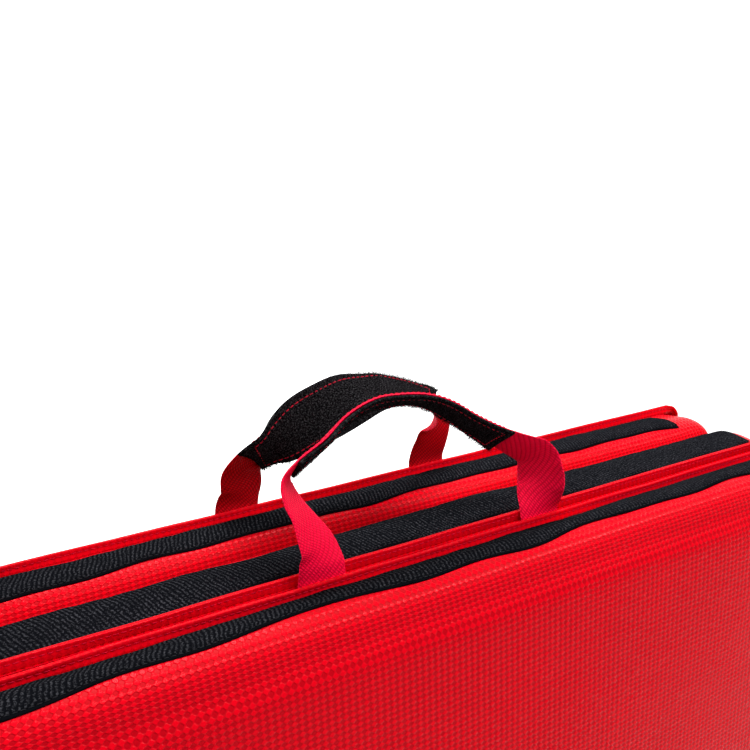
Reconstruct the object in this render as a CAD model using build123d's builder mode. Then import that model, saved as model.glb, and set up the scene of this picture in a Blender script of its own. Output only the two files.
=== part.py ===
"""A padded mat in three sections, folded into a stack that stands on one side with its handles up.

Each section is a foam block in a cover of coated fabric: an embossed top cover, a base sheet sewn to it
in a raised hem, and a strip of hook or loop tape along the upper and the lower side. The sections fold
like a Z about two upright hinge strips. A handle of webbing with a grip pad is sewn behind the hem of
the rear section, and another behind the hem of the front section, and the two pads close on each other.

X runs along the stack, Y from the front face to the rear one, Z up. The origin is on the floor, under
the middle of the stack. Sizes are in millimetres.
"""

import os
from math import cos, radians, sin

from build123d import *

os.makedirs("parts", exist_ok=True)

# ---------------------------------------------------------------- driving dimensions
section_length = 667.0  # along X; three sections make a mat 2001 long
section_height = 600.0  # along Z; the width of the opened mat
section_depth = 50.0  # along Y; foam and cover together
fold_gap = 4.0  # between the facing sides of two folded sections
foot = 1.8  # thickness of the tape and the flattened hem that the stack stands on

cover_skin = 1.0  # coated fabric, top cover and base sheet
face_rounding = 9.0  # the cover's edges where its face turns into its sides

hem_thickness = 2.4
hem_rise = 5.0  # how far the raised hem stands out of the section's side
flat_hem_width = 8.0  # where the hem is folded flat against the side
flat_hem_thickness = 1.6
thread_thickness = 0.5
seam_thread_height = 2.2  # of the seam's thread above the foot of the raised hem

tape_width = 30.0
tape_end_gap = 18.0  # from the end of a tape to the end of its section
upper_tape_thickness = 1.4

hinge_reach = 4.0  # from the end of the sections to the axis of a hinge strip
hinge_bead_radius = 1.8
hinge_leaf_width = 20.0  # how far each leaf is welded onto its section
hinge_leaf_thickness = 0.9

webbing_width = 30.0
webbing_thickness = 1.6
rear_legs = (-81.0, 69.0)  # the middles of a handle's two legs along X
front_legs = (-80.0, 80.0)
sewn_length = 24.0  # webbing sewn behind the hem, below the section's upper side
sewn_rise = 2.0  # and above it
pivot_rise = 6.0  # height of the bending line of the webbing above the section's upper side
leg_foot = 1.5  # the moving webbing starts this far above the bending line
corner_radius = 16.0  # where a leg turns into the grip
rear_corner_height = 34.0
rear_peak_height = 77.0  # where the two slopes of the grip would meet
rear_grip_radius = 60.0
rear_lean = -15.0  # degrees from upright, positive towards the rear
front_corner_height = 48.0
front_peak_height = 97.0
front_grip_radius = 50.0
front_lean = 18.0
twist_start = 12.0  # the front handle's legs make their quarter turn between these heights
twist_end = 34.0

pad_width = 38.0
pad_thickness = 2.2
pad_half_span = 62.0
pad_thread_inset = 5.0
box_stitch_inset = 3.0  # from the edge of the sewn webbing to its stitches

# ---------------------------------------------------------------- derived values
pitch = section_depth + fold_gap
axis_x = section_length / 2 + hinge_reach
tape_length = section_length - 2 * tape_end_gap
tape_start = (section_depth - tape_width) / 2
# The rear handle's stitches stand out of the stack, so the middle section sits this far forward.
middle_y = -(webbing_thickness + thread_thickness) / 2
rear_y = middle_y + pitch
front_y = middle_y - pitch

# name, centre along Y, and the way its embossed face looks along Y
sections = (("rear", rear_y, -1), ("middle", middle_y, 1), ("front", front_y, -1))
# how far the hem stands out of a section's two ends, in its own x: folded flat beside a hinge
hem_reach = {
    "rear": {-1: flat_hem_thickness, 1: hem_rise},
    "middle": {-1: flat_hem_thickness, 1: flat_hem_thickness},
    "front": {-1: hem_rise, 1: flat_hem_thickness},
}

LOW = (Align.CENTER, Align.MIN, Align.MIN)


def section_plane(centre, facing):
    """A section's own frame: x along it, y from its base sheet to its face, z up from its lower side."""
    underside = centre - facing * section_depth / 2
    return Plane(origin=(0, underside, foot), x_dir=(facing, 0, 0), z_dir=(0, 0, 1))


def handle_plane(underside, facing, lean, legs):
    """A handle's own frame between its legs, at its bending line: x along the stack, y up it."""
    middle = underside - facing * webbing_thickness / 2
    height = foot + section_height + pivot_rise
    normal = (0, -cos(radians(lean)), sin(radians(lean)))
    return Plane(origin=(sum(legs) / 2, middle, height), x_dir=(1, 0, 0), z_dir=normal)


def write(part, name):
    """Labels a finished piece and writes it."""
    part.label = name
    export_step(part, f"parts/{name}.step")


def padded_block(plane, start, inset, rounding):
    """A block whose face edges are rounded; start is its distance from the base sheet's outside."""
    with BuildPart(plane) as block:
        with Locations((0, start, inset)):
            Box(
                section_length - 2 * inset,
                section_depth - start - inset,
                section_height - 2 * inset,
                align=LOW,
            )
        face = block.faces().sort_by(Axis(plane.origin, plane.y_dir))[-1]
        fillet(face.edges(), rounding)
    return block.part


def loop_path(leg_x, low, corner, peak, radius):
    """A handle's middle line: up one leg, over the grip and down the other leg."""
    return FilletPolyline(
        (-leg_x, low),
        (-leg_x, corner),
        (0, peak),
        (leg_x, corner),
        (leg_x, low),
        radius=[corner_radius, radius, corner_radius],
    )


def grip_path(leg_x, corner, peak, radius, half_span, inset):
    """The grip alone, moved inset towards the mat."""
    slope = (peak - corner) / leg_x
    top = peak - inset * (1 + slope**2) ** 0.5
    end = top - half_span * slope
    return FilletPolyline((-half_span, end), (0, top), (half_span, end), radius=radius - inset)


# ---------------------------------------------------------------- the three sections
for name, centre, facing in sections:
    frame = section_plane(centre, facing)

    with BuildPart() as foam_core:
        add(padded_block(frame, cover_skin, cover_skin, face_rounding - cover_skin))
    write(foam_core.part, f"{name}_foam_core")

    with BuildPart() as top_cover:
        add(padded_block(frame, 0, 0, face_rounding))
        add(
            padded_block(frame, 0, cover_skin, face_rounding - cover_skin),
            mode=Mode.SUBTRACT,
        )
    write(top_cover.part, f"{name}_top_cover")

    with BuildPart(frame) as base_sheet:
        with Locations((0, 0, cover_skin)):
            Box(
                section_length - 2 * cover_skin,
                cover_skin,
                section_height - 2 * cover_skin,
                align=LOW,
            )
    write(base_sheet.part, f"{name}_base_sheet")

    # The hem stands up along the upper side and out of a free end. Under the section, and at an end
    # that folds against its neighbour, it is folded flat.
    reach = hem_reach[name]
    hem_length = section_length + reach[-1] + reach[1]
    hem_middle = (reach[1] - reach[-1]) / 2
    with BuildPart(frame) as seam_hem:
        with Locations((hem_middle, 0, section_height)):
            Box(hem_length, hem_thickness, hem_rise, align=LOW)
        with Locations((hem_middle, 0, -foot)):
            Box(hem_length, flat_hem_width, foot, align=LOW)
        for end in (-1, 1):
            width = hem_thickness if reach[end] == hem_rise else flat_hem_width
            with Locations((end * (section_length + reach[end]) / 2, 0, 0)):
                Box(reach[end], width, section_height, align=LOW)
    write(seam_hem.part, f"{name}_seam_hem")

    with BuildPart(frame) as seam_thread:
        with Locations((0, hem_thickness, section_height + seam_thread_height)):
            Box(section_length, thread_thickness, thread_thickness, align=LOW)
    write(seam_thread.part, f"{name}_seam_thread")

    with BuildPart(frame) as upper_tape:
        with Locations((0, tape_start, section_height)):
            Box(tape_length, tape_width, upper_tape_thickness, align=LOW)
    write(upper_tape.part, f"{name}_upper_tape")

    with BuildPart(frame) as lower_tape:
        with Locations((0, tape_start, -foot)):
            Box(tape_length, tape_width, foot, align=LOW)
    write(lower_tape.part, f"{name}_lower_tape")

# ---------------------------------------------------------------- the two hinge strips
# A strip is welded to the two faces it joins and creases at its bead. Its outer leaf, a node of its
# own, goes with the section that swings.
hinges = (("rear", 1), ("front", -1))
for name, side in hinges:
    face_y = middle_y + side * section_depth / 2
    axis_y = middle_y + side * pitch / 2
    far_face_y = face_y + side * fold_gap

    with BuildPart() as hinge_strip:
        with BuildSketch(Plane.XY.offset(foot)):
            with Locations((side * axis_x, axis_y)):
                Circle(hinge_bead_radius)
            with Locations(
                (
                    side * (axis_x - hinge_leaf_width / 2),
                    face_y + side * hinge_leaf_thickness / 2,
                )
            ):
                Rectangle(hinge_leaf_width, hinge_leaf_thickness)
        extrude(amount=section_height)
    write(hinge_strip.part, f"{name}_hinge_strip")

    with BuildPart() as hinge_leaf:
        with BuildSketch(Plane.XY.offset(foot)):
            with Locations(
                (
                    side * (axis_x - hinge_bead_radius - hinge_leaf_width / 2),
                    far_face_y - side * hinge_leaf_thickness / 2,
                )
            ):
                Rectangle(hinge_leaf_width, hinge_leaf_thickness)
        extrude(amount=section_height)
    write(hinge_leaf.part, f"{name}_hinge_leaf")

# ---------------------------------------------------------------- the two handles' sewn ends
handles = (("rear", rear_y, -1, rear_legs), ("front", front_y, -1, front_legs))
for name, centre, facing, legs in handles:
    section = section_plane(centre, facing)

    with BuildPart(section) as sewn_ends:
        for x in legs:
            with Locations((facing * x, -webbing_thickness, section_height - sewn_length)):
                Box(webbing_width, webbing_thickness, sewn_length + sewn_rise, align=LOW)
    write(sewn_ends.part, f"{name}_handle_ends")

    # A box of stitches with a cross in it on each sewn end.
    box_width = webbing_width - 2 * box_stitch_inset
    box_height = sewn_length - 2 * box_stitch_inset
    box_centre = section_height - sewn_length / 2
    stitch_plane = Plane(
        section.from_local_coords((0, -webbing_thickness, box_centre)),
        x_dir=(1, 0, 0),
        z_dir=(0, -facing, 0),
    )
    with BuildPart() as end_stitches:
        with BuildSketch(stitch_plane):
            with Locations(*[(x, 0) for x in legs]):
                Rectangle(box_width + thread_thickness, box_height + thread_thickness)
                Rectangle(
                    box_width - thread_thickness,
                    box_height - thread_thickness,
                    mode=Mode.SUBTRACT,
                )
            for x in legs:
                for turn in (-1, 1):
                    with BuildLine():
                        Line(
                            (x - box_width / 2, -turn * box_height / 2),
                            (x + box_width / 2, turn * box_height / 2),
                        )
                    trace(line_width=thread_thickness)
        extrude(amount=thread_thickness)
    write(end_stitches.part, f"{name}_end_stitches")

# ---------------------------------------------------------------- the rear handle
# Its webbing lies flat in the plane of the loop, with the pad on the side that looks forward.
rear_half = (rear_legs[1] - rear_legs[0]) / 2
rear_grip = (rear_corner_height, rear_peak_height, rear_grip_radius)
rear_frame = handle_plane(section_plane(rear_y, -1).origin.Y, -1, rear_lean, rear_legs)

with BuildPart() as rear_webbing:
    with BuildSketch(rear_frame):
        with BuildLine():
            loop_path(rear_half, leg_foot, *rear_grip)
        trace(line_width=webbing_width)
    extrude(amount=webbing_thickness / 2, both=True)
write(rear_webbing.part, "rear_handle_webbing")

with BuildPart() as rear_pad:
    with BuildSketch(rear_frame.offset(webbing_thickness / 2)):
        with BuildLine():
            grip_path(rear_half, *rear_grip, pad_half_span, 0)
        trace(line_width=pad_width)
    extrude(amount=pad_thickness)
write(rear_pad.part, "rear_grip_pad")

thread_place = pad_width / 2 - pad_thread_inset
with BuildPart() as rear_thread:
    for inset in (-thread_place, thread_place):
        with BuildSketch(rear_frame.offset(webbing_thickness / 2 + pad_thickness)):
            with BuildLine():
                grip_path(rear_half, *rear_grip, pad_half_span - pad_thread_inset, inset)
            trace(line_width=thread_thickness)
        extrude(amount=thread_thickness)
write(rear_thread.part, "rear_pad_thread")

# ---------------------------------------------------------------- the front handle
# Its legs make a quarter turn, so that the grip lies across the hand with the pad on its underside.
front_half = (front_legs[1] - front_legs[0]) / 2
front_grip = (front_corner_height, front_peak_height, front_grip_radius)
front_frame = handle_plane(section_plane(front_y, -1).origin.Y, -1, front_lean, front_legs)

with BuildPart() as front_webbing:
    for x in (-front_half, front_half):
        foot_plane = Plane(
            front_frame.from_local_coords((x, leg_foot, 0)),
            x_dir=(1, 0, 0),
            z_dir=front_frame.y_dir,
        )
        with BuildSketch(foot_plane):
            Rectangle(webbing_width, webbing_thickness)
        extrude(amount=twist_start - leg_foot)
        for step in range(3):
            height = twist_start + step * (twist_end - twist_start) / 2
            with BuildSketch(foot_plane.offset(height - leg_foot)):
                Rectangle(webbing_width, webbing_thickness, rotation=45 * step)
        loft(ruled=True)
    with BuildSketch(front_frame):
        with BuildLine():
            loop_path(front_half, twist_end, *front_grip)
        trace(line_width=webbing_thickness)
    extrude(amount=webbing_width / 2, both=True)
write(front_webbing.part, "front_handle_webbing")

with BuildPart() as front_pad:
    with BuildSketch(front_frame):
        with BuildLine():
            grip_path(front_half, *front_grip, pad_half_span, (webbing_thickness + pad_thickness) / 2)
        trace(line_width=pad_thickness)
    extrude(amount=pad_width / 2, both=True)
write(front_pad.part, "front_grip_pad")

thread_depth = webbing_thickness / 2 + pad_thickness + thread_thickness / 2
with BuildPart() as front_thread:
    for place in (-thread_place, thread_place):
        with BuildSketch(front_frame.offset(place)):
            with BuildLine():
                grip_path(front_half, *front_grip, pad_half_span - pad_thread_inset, thread_depth)
            trace(line_width=thread_thickness)
        extrude(amount=thread_thickness)
write(front_thread.part, "front_pad_thread")
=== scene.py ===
"""The looks of the folding padded mat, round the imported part. Lengths are in metres."""

import math

import bmesh
import bpy
import numpy as np
from mathutils import Matrix, Vector
from mathutils.bvhtree import BVHTree


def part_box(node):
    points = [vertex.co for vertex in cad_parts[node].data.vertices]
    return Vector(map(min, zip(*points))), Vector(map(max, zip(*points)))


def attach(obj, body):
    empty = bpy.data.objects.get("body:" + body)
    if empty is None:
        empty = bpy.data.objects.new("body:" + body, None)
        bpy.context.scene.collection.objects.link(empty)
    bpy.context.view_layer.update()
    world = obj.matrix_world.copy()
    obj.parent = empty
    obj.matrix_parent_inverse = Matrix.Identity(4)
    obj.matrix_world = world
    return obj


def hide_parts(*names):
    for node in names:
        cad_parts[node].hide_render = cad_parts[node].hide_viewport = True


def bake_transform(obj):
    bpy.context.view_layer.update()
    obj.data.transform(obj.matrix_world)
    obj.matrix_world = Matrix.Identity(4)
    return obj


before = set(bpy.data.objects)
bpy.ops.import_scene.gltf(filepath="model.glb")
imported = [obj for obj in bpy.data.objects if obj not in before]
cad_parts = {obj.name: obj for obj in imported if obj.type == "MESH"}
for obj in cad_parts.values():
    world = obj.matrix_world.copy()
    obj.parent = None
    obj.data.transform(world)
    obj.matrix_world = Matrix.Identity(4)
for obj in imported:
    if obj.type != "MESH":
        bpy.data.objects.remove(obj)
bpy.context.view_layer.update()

MM = 0.001
SEED = 7
FACINGS = {"rear": -1, "middle": 1, "front": -1}  # the way each embossed face looks along Y


def span(node):
    """A CAD node's box as two arrays."""
    low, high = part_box(node)
    return np.array(low), np.array(high)


cover_low, cover_high = span("middle_top_cover")
LENGTH, DEPTH, HEIGHT = cover_high - cover_low
FLOOR_GAP = cover_low[2]
TOP = cover_high[2]
# The Y of each section's open side, where its base sheet is.
UNDERSIDE = {name: span(f"{name}_top_cover")[int(facing < 0)][1] for name, facing in FACINGS.items()}

# An upper side gives way towards its hem: by this much, over this height and between these depths.
SINK = {"rear": 1 * MM, "middle": 0.5 * MM, "front": 5 * MM}
SINK_HEIGHT = 45 * MM
SINK_FROM, SINK_TO = 2 * MM, 27 * MM


def place(section, u, d, h):
    """Points of a section's own frame in the row frame: u runs along the section, d from its base
    sheet to its face and h up from its lower side."""
    u, d, h = np.broadcast_arrays(u, d, h)
    sunk = SINK[section] * smoothstep(h, HEIGHT - SINK_HEIGHT, HEIGHT)
    sunk = sunk * (1 - smoothstep(d, SINK_FROM, SINK_TO))
    return np.stack([u, UNDERSIDE[section] + FACINGS[section] * d, FLOOR_GAP + h - sunk], -1)


def ripple(x, y, wavelength, seed, waves=6):
    """Smooth random unevenness, mostly within -1 and 1: waves of random direction, phase and stretch."""
    draws = np.random.default_rng(seed)
    total = 0.0
    for turn, phase, stretch in draws.uniform((0, 0, 0.7), (6.28, 6.28, 1.5), (waves, 3)):
        along = x * math.cos(turn) + y * math.sin(turn)
        total = total + np.sin(6.283 * along / (wavelength * stretch) + phase)
    return total / waves**0.5


def smoothstep(value, low, high):
    """0 up to low, 1 from high on and a smooth rise between."""
    t = np.clip((value - low) / (high - low), 0, 1)
    return t * t * (3 - 2 * t)


# ---- materials
CELL_WIDTH, CELL_HEIGHT = 4.1 * MM, 3.4 * MM  # embossed diamonds
WEAVE_PITCH = 2.1 * MM
HOOK_PITCH = 2.6 * MM
SELVEDGE_FROM, SELVEDGE_TO = 1.8 * MM, 1.2 * MM  # in from a hook tape's edge


class Shader:
    """A short way to write node trees: each method adds a node and returns its output."""

    def __init__(self, name, **sockets):
        self.material = bpy.data.materials.new(name)
        self.material.use_nodes = True
        self.tree = self.material.node_tree
        self.surface = self.tree.nodes["Principled BSDF"]
        for socket, value in sockets.items():
            self.feed(self.surface, socket.replace("_", " "), value)

    def feed(self, node, socket, value):
        """Links an output to a socket, or sets the socket to a constant."""
        if isinstance(value, bpy.types.NodeSocket):
            self.tree.links.new(value, node.inputs[socket])
        elif value is not None:
            node.inputs[socket].default_value = value

    def add(self, kind, output=0, settings=(), **sockets):
        """A node of that kind; a socket is given by its name, or by its number as i0, i1 and so on."""
        node = self.tree.nodes.new(kind)
        for key, value in dict(settings).items():
            setattr(node, key, value)
        for socket, value in sockets.items():
            index = int(socket[1:]) if socket[0] == "i" and socket[1:].isdigit() else None
            self.feed(node, socket.replace("_", " ") if index is None else index, value)
        return node.outputs[output]

    def math(self, operation, a, b=None):
        return self.add("ShaderNodeMath", settings={"operation": operation}, i0=a, i1=b)

    def plus(self, a, b):
        return self.math("ADD", a, b)

    def times(self, a, b):
        return self.math("MULTIPLY", a, b)

    def place(self):
        """Coordinates along the cloth, in metres."""
        cloth = self.add("ShaderNodeUVMap", settings={"uv_map": "cloth"})
        split = self.tree.nodes.new("ShaderNodeSeparateXYZ")
        self.tree.links.new(cloth, split.inputs[0])
        return cloth, split.outputs[0], split.outputs[1]

    def noise(self, vector, scale, detail=3.0, rough=0.55):
        sockets = {"Vector": vector, "Scale": scale, "Detail": detail, "Roughness": rough}
        return self.add("ShaderNodeTexNoise", settings={"noise_dimensions": "3D"}, **sockets)

    def blend(self, amount, low, high):
        """A colour between two."""
        mix = self.tree.nodes.new("ShaderNodeMix")
        mix.data_type = "RGBA"
        self.feed(mix, 0, amount)
        self.feed(mix, 6, (*low, 1) if isinstance(low, tuple) else low)
        self.feed(mix, 7, (*high, 1) if isinstance(high, tuple) else high)
        return mix.outputs[2]

    def spread(self, value, low, high):
        """0..1 turned into low..high."""
        return self.add("ShaderNodeMapRange", Value=value, To_Min=low, To_Max=high)

    def ramp(self, value, low, high):
        """low..high turned into 0..1."""
        return self.add("ShaderNodeMapRange", Value=value, From_Min=low, From_Max=high)

    def lattice(self, x, y, width, height):
        """Diamonds of that size: 1 in the middle of each, 0 on the lines between them."""
        across = self.times(x, math.pi / width)
        up = self.times(y, math.pi / height)
        one = self.math("SINE", self.plus(across, up))
        other = self.math("SINE", self.math("SUBTRACT", across, up))
        return self.times(one, other)

    def finish(self, colour, roughness, height, depth):
        self.feed(self.surface, "Base Color", colour)
        self.feed(self.surface, "Roughness", roughness)
        bump = self.add("ShaderNodeBump", Height=height, Distance=depth, Strength=1.0)
        self.feed(self.surface, "Normal", bump)
        return self.material


def coated_fabric(name, bright, deep, emboss):
    """Red coated fabric pressed with a lattice of small diamonds."""
    s = Shader(name, Specular_IOR_Level=0.04)
    cloth, x, y = s.place()
    cells = s.lattice(x, y, CELL_WIDTH, CELL_HEIGHT)
    alternate = s.ramp(cells, -0.3, 0.3)
    grain = s.noise(cloth, 2600.0)
    broad = s.noise(cloth, 9.0)
    height = s.plus(alternate, s.times(s.math("ABSOLUTE", cells), 0.06))
    height = s.plus(height, s.times(grain, 0.04))
    tint = s.plus(s.times(alternate, 0.75), s.times(broad, 0.35))
    colour = s.blend(tint, deep, bright)
    rough = s.plus(s.spread(alternate, 0.4, 0.19), s.times(grain, 0.06))
    return s.finish(colour, rough, height, emboss)


def woven(name, bright, deep):
    """Webbing whose picks lie in slanting rows."""
    s = Shader(name, Specular_IOR_Level=0.07)
    cloth, x, y = s.place()
    fibre = s.noise(cloth, 3200.0)
    broad = s.noise(cloth, 45.0)
    slant = s.times(s.plus(x, y), math.pi / WEAVE_PITCH)
    counter = s.times(s.math("SUBTRACT", x, y), math.pi / (2 * WEAVE_PITCH))
    picks = s.math("ABSOLUTE", s.times(s.math("SINE", slant), s.math("SINE", counter)))
    raised = s.ramp(picks, 0.05, 0.6)
    tint = s.plus(s.plus(raised, -0.1), s.times(broad, 0.25))
    height = s.plus(picks, s.times(fibre, 0.4))
    return s.finish(s.blend(tint, deep, bright), s.spread(fibre, 0.5, 0.75), height, 0.3 * MM)


def hooked(name, dark, light, half_width):
    """Hook tape: slanting rows of hooks between two plain selvedges."""
    s = Shader(name, Specular_IOR_Level=0.0)
    cloth, x, y = s.place()
    bent = s.plus(x, s.times(s.noise(cloth, 70.0), 5 * MM))
    slanted = s.plus(bent, s.times(y, 0.35))
    rows = s.math("ABSOLUTE", s.math("SINE", s.times(slanted, math.pi / HOOK_PITCH)))
    speck = s.noise(cloth, 800.0, 2.0, 0.75)
    broad = s.noise(cloth, 70.0)
    inside = s.ramp(s.math("ABSOLUTE", y), half_width - SELVEDGE_TO, half_width - SELVEDGE_FROM)
    hooks = s.times(s.plus(s.times(rows, 0.25), speck), inside)
    # Painted highlight: the light colour on the hooks stands in for their grey glints, as the tape has no
    # specular.
    tint = s.ramp(hooks, 0.68, 0.98)
    tint = s.times(tint, s.spread(broad, 0.3, 1.1))
    rough = s.spread(inside, 0.3, 0.62)
    return s.finish(s.blend(tint, dark, light), rough, hooks, 0.5 * MM)


def napped(name, dark, light, fibres):
    """Brushed loops and fine fibres."""
    s = Shader(name, Specular_IOR_Level=0.0)
    cloth, _, _ = s.place()
    fluff = s.noise(cloth, 900.0, 4.0, 0.75)
    clumps = s.noise(cloth, 320.0)
    height = s.plus(fluff, s.times(clumps, 1.3))
    lit = s.ramp(fluff, 0.48, 0.72)
    colour = s.blend(lit, dark, light)
    return s.finish(colour, s.spread(fluff, 0.75, 0.98), height, fibres)


def spun(name, dark, light):
    """Sewing thread with its twist."""
    s = Shader(name, Specular_IOR_Level=0.05)
    where = s.add("ShaderNodeTexCoord", output=3)
    plies = s.add("ShaderNodeTexWave", Vector=where, Scale=900.0, Distortion=1.5, Detail=1.0)
    return s.finish(s.blend(plies, dark, light), s.spread(plies, 0.45, 0.65), plies, 0.1 * MM)


def celled(name, dark, light):
    """Block foam."""
    s = Shader(name, Specular_IOR_Level=0.2)
    where = s.add("ShaderNodeTexCoord", output=3)
    cells = s.add("ShaderNodeTexVoronoi", Vector=where, Scale=700.0)
    return s.finish(s.blend(cells, dark, light), s.spread(cells, 0.85, 1.0), cells, 0.5 * MM)


COVER = coated_fabric("cover_fabric", (0.74, 0.0010, 0.009), (0.40, 0.0003, 0.005), 0.34 * MM)
BASE = coated_fabric("base_fabric", (0.62, 0.0010, 0.009), (0.42, 0.0003, 0.005), 0.22 * MM)
HEM = coated_fabric("hem_fabric", (0.72, 0.0010, 0.009), (0.52, 0.0003, 0.006), 0.12 * MM)
WEBBING = woven("webbing_weave", (1.0, 0.002, 0.048), (0.66, 0.0009, 0.026))
# Painted shade: a darker copy of the webbing's colours, used on the rear handle's inner side where it lies
# in shade.
WEBBING_PAINTED_SHADE = woven("webbing_painted_shade_weave", (0.60, 0.001, 0.008), (0.26, 0.0003, 0.003))
# The hook tape's lighter colour is painted highlight: glints on its hooks.
HOOKS = hooked("hook_tape", (0.003, 0.0033, 0.0044), (0.072, 0.072, 0.082), 15 * MM)
LOOPS = napped("loop_tape", (0.006, 0.0065, 0.008), (0.05, 0.05, 0.055), 0.5 * MM)
PAD = napped("grip_pad", (0.0014, 0.0014, 0.0018), (0.075, 0.07, 0.075), 1.1 * MM)
THREAD = spun("red_thread", (0.40, 0.001, 0.01), (0.85, 0.01, 0.05))
BLACK_THREAD = spun("black_thread", (0.006, 0.006, 0.008), (0.03, 0.03, 0.035))
FOAM = celled("foam_cells", (0.62, 0.58, 0.42), (0.85, 0.82, 0.70))


# ---- meshes
def shape(name, points, faces, material, uv=None, corner_uv=None, smooth=True):
    """A mesh object. uv has a place on the cloth for each point, corner_uv for each face corner."""
    mesh = bpy.data.meshes.new(name)
    mesh.from_pydata(np.asarray(points, float).reshape(-1, 3).tolist(), [], faces)
    layer = mesh.uv_layers.new(name="cloth")
    if corner_uv is None:
        corners = np.empty(len(mesh.loops), np.int32)
        mesh.loops.foreach_get("vertex_index", corners)
        source = np.zeros((len(mesh.vertices), 2)) if uv is None else np.asarray(uv).reshape(-1, 2)
        corner_uv = source[corners]
    layer.data.foreach_set("uv", np.asarray(corner_uv, np.float32).ravel())
    if smooth:
        mesh.polygons.foreach_set("use_smooth", [True] * len(mesh.polygons))
    mesh.materials.append(material)
    mesh.validate()
    obj = bpy.data.objects.new(name, mesh)
    bpy.context.scene.collection.objects.link(obj)
    return obj


def outward(obj):
    """Turns the faces of a closed or nearly closed mesh outwards."""
    work = bmesh.new()
    work.from_mesh(obj.data)
    bmesh.ops.recalc_face_normals(work, faces=work.faces)
    work.to_mesh(obj.data)
    work.free()


def grid_faces(rows, columns, ring=False, start=0):
    """Faces of a grid of points, whose rows close on themselves when ring is set."""
    faces = []
    for r in range(rows - 1):
        for c in range(columns if ring else columns - 1):
            after = (c + 1) % columns
            a, b = start + r * columns, start + (r + 1) * columns
            faces.append((a + c, a + after, b + after, b + c))
    return faces


def tube(points, name, material, uv=None, ring=False):
    """A closed skin over rows of points; each row is a closed cross-section."""
    rows, columns = points.shape[:2]
    faces = grid_faces(rows, columns, ring=True)
    if ring:
        last = (rows - 1) * columns
        faces += [(last + c, last + (c + 1) % columns, (c + 1) % columns, c) for c in range(columns)]
    else:
        for start, turn in ((0, -1), ((rows - 1) * columns, 1)):
            half = columns // 2
            for c in range(half - 1):
                quad = (c, c + 1, columns - 2 - c, columns - 1 - c)
                faces.append(tuple(start + q for q in quad[::turn]))
    obj = shape(name, points, faces, material, uv)
    outward(obj)
    return obj


def layer(name, top, bottom, places, material):
    """A closed strip of cloth between its two sides."""
    ring = np.concatenate([top, bottom[:, ::-1]], 1)
    return tube(ring, name, material, np.concatenate([places, places[:, ::-1]], 1))


def spline(controls, step):
    """A smooth line through rows of numbers whose first three are a place, in even steps."""
    c = np.asarray(controls, float)
    c = np.vstack([2 * c[0] - c[1], c, 2 * c[-1] - c[-2]])
    fine = []
    for i in range(1, len(c) - 2):
        t = np.linspace(0, 1, 40, endpoint=False)[:, None]
        a, b, d, e = c[i - 1 : i + 3]
        curved = (2 * a - 5 * b + 4 * d - e) * t**2 + (3 * b - a - 3 * d + e) * t**3
        fine.append(0.5 * (2 * b + (d - a) * t + curved))
    fine = np.vstack([*fine, c[-2:-1]])
    run = distance(fine[:, :3])
    even = np.linspace(0, run[-1], max(2, round(run[-1] / step) + 1))
    return read_along(even, run, fine), even


def distance(line):
    """How far along a line each of its points is."""
    return np.concatenate([[0], np.cumsum(np.linalg.norm(np.diff(line, axis=0), axis=1))])


def read_along(where, run, rows):
    """Rows of numbers that stand at run along a line, read at other places along it."""
    return np.stack([np.interp(where, run, column) for column in rows.T], -1)


def unit(vectors):
    """Vectors of length 1."""
    return vectors / np.maximum(np.linalg.norm(vectors, axis=-1, keepdims=True), 1e-12)


def capsules(name, ends, normals, radius, rise, material):
    """Stitches: each a short thread that rises from the cloth and dips back into it."""
    points, faces, uvs = [], [], []
    sides, rings, stitch_length = 6, 5, 3 * MM
    t = np.linspace(0, 1, rings)
    swell = (0.45, 0.9, 1.0, 0.9, 0.45)
    lift = (-0.6, 0.5, 1.0, 0.5, -0.6)
    angles = np.linspace(0, 2 * math.pi, sides, endpoint=False)
    for (a, b), normal in zip(ends, normals):
        along = unit(b - a)
        across = unit(np.cross(along, normal))
        normal = np.cross(across, along)
        base = len(points)
        for k in range(rings):
            centre = a + (b - a) * t[k] + normal * rise * lift[k]
            for angle in angles:
                offset = across * math.cos(angle) + normal * math.sin(angle)
                points.append(centre + offset * radius * swell[k])
                uvs.append((t[k] * stitch_length, angle * radius))
        faces += grid_faces(rings, sides, ring=True, start=base)
        faces.append(tuple(base + s for s in range(sides))[::-1])
        faces.append(tuple(base + (rings - 1) * sides + s for s in range(sides)))
    return shape(name, np.array(points), faces, material, np.array(uvs))


# ---- covers
CORNER = 19 * MM  # rounding of a padded cover's edges
LATTICE = 9 * MM  # spacing of the points on a cover
# How far the covers stand out above their upper side, in front of their face and at their base.
TOP_BULGE = {"rear": 6 * MM, "middle": 5 * MM, "front": 6 * MM}
FACE_BULGE = {"rear": 1.2 * MM, "middle": 1.2 * MM, "front": 6 * MM}
BASE_BULGE = {"rear": 5 * MM, "middle": 0.8 * MM, "front": 0.8 * MM}
END_BULGE = 2 * MM
WAVES, RIDGES, TUGS = 0.7 * MM, 0.5 * MM, 0.5 * MM  # heights of the unevenness on a cover
# How much further the pressure may move a cover: out at its face, out at its other sides, in and along.
FACE_ROOM = {"rear": 0.5 * MM, "middle": 0.5 * MM, "front": 4 * MM}
SIDE_ROOM, LOWER_ROOM, INWARD_ROOM, SLIDE_ROOM = 2.2 * MM, 0.5 * MM, 1.2 * MM, 2.5 * MM
FILL_FRAMES = 20
SMOOTHING = 14  # rounds in which the pressure's movement is evened out
FOAM_INSET = 3 * MM
FOAM_BOTTOM = 2.5 * MM  # depth at which the foam starts, on the base sheet
BASE_INSET = 1.5 * MM  # a base cloth's edge, inside the section's outline
BASE_INNER, BASE_OUTER = 1.1 * MM, 0.3 * MM  # depths of a base cloth's two sides


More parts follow.
